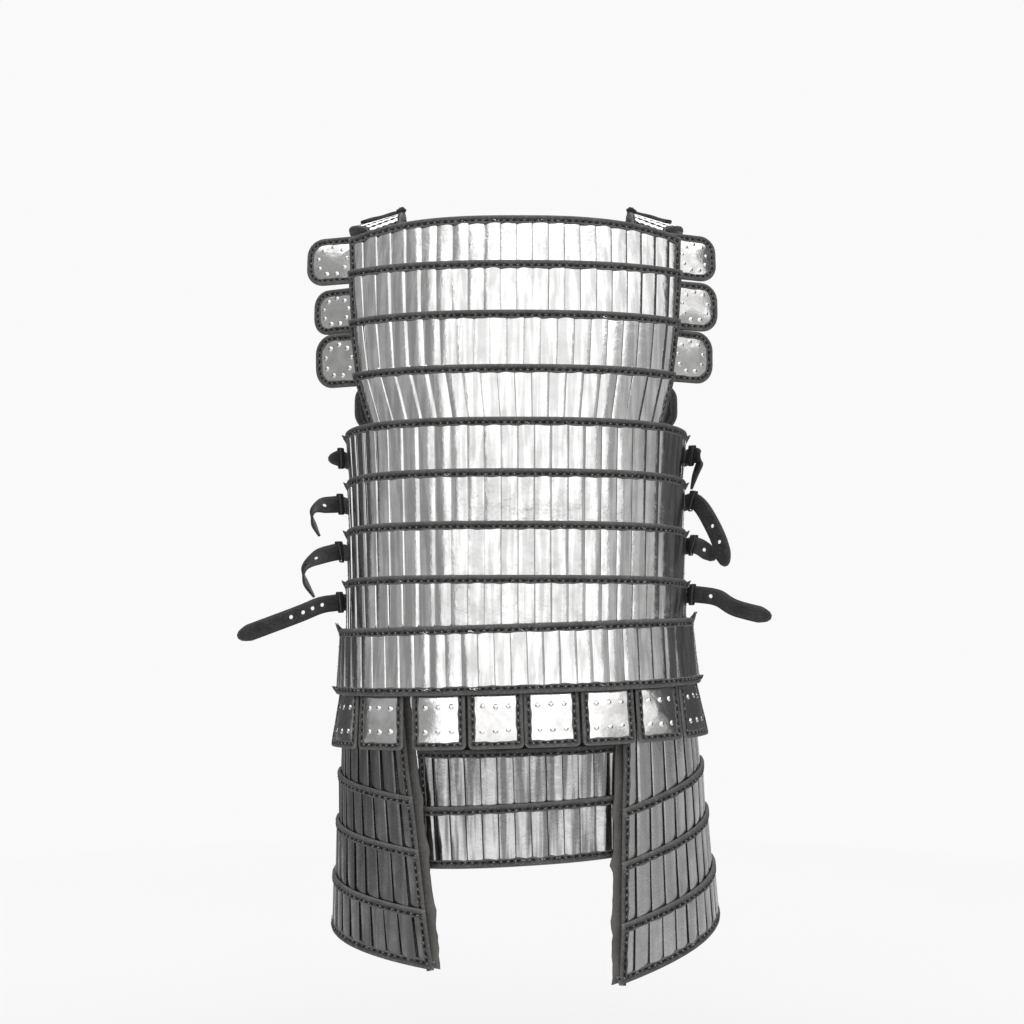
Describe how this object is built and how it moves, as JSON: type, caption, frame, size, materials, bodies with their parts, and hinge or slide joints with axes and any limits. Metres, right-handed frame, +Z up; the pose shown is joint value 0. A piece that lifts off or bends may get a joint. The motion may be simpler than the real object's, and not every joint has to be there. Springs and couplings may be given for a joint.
{
  "type": "lamellar armour",
  "caption": "Hollow worn cuirass of steel lamellae on leather, with waist row, flaps, rear skirt, tassets, ears, shoulder straps and side straps.",
  "frame": {"origin": "midway between the shoulder straps, at the height where they rest on the wearer's shoulders", "axes": "+X towards the wearer's right, +Y the way the wearer faces, +Z up"},
  "size_m": [0.6314, 0.33, 0.8776],
  "materials": {
    "steel_plates": "hand-polished steel with small dents and satin patches",
    "studded_plates": "polished steel with domed studs and a dark leather edge",
    "backing_leather": "dark matt leather",
    "strap_leather": "black satin leather with punched holes"
  },
  "bodies": {
    "root": {"back_row_1": "steel_plates", "back_row_2": "steel_plates", "back_row_3": "steel_plates", "back_row_4": "steel_plates", "back_row_5": "steel_plates", "back_row_6": "steel_plates", "back_row_7": "steel_plates", "back_row_8": "steel_plates", "front_row_2": "steel_plates", "front_row_3": "steel_plates", "front_row_4": "steel_plates", "front_row_5": "steel_plates", "front_row_6": "steel_plates", "front_row_7": "steel_plates", "front_row_8": "steel_plates", "back_leather": "backing_leather", "front_leather": "backing_leather", "back_waist": "steel_plates", "front_waist": "steel_plates", "back_flap_1": "studded_plates", "back_flap_2": "studded_plates", "back_flap_3": "studded_plates", "back_flap_4": "studded_plates", "back_flap_5": "studded_plates", "back_flap_6": "studded_plates", "back_flap_7": "studded_plates", "back_flap_8": "studded_plates", "front_flaps": "studded_plates", "back_skirt_1": "steel_plates", "back_skirt_2": "steel_plates", "back_skirt_leather": "backing_leather", "left_tasset_1": "steel_plates", "left_tasset_2": "steel_plates", "left_tasset_3": "steel_plates", "left_tasset_4": "steel_plates", "left_tasset_leather": "backing_leather", "right_tasset_1": "steel_plates", "right_tasset_2": "steel_plates", "right_tasset_3": "steel_plates", "right_tasset_4": "steel_plates", "right_tasset_leather": "backing_leather", "back_ear_left_1": "studded_plates", "back_ear_left_2": "studded_plates", "back_ear_left_3": "studded_plates", "front_ear_left": "backing_leather", "back_ear_right_1": "studded_plates", "back_ear_right_2": "studded_plates", "back_ear_right_3": "studded_plates", "front_ear_right": "backing_leather", "left_shoulder_strap": "studded_plates", "right_shoulder_strap": "studded_plates", "left_side_strap_1": "strap_leather", "left_side_strap_2": "strap_leather", "left_side_strap_3": "strap_leather", "left_side_strap_4": "strap_leather", "right_side_strap_1": "strap_leather", "right_side_strap_2": "strap_leather", "right_side_strap_3": "strap_leather", "right_side_strap_4": "strap_leather"}
  },
  "joints": []
}
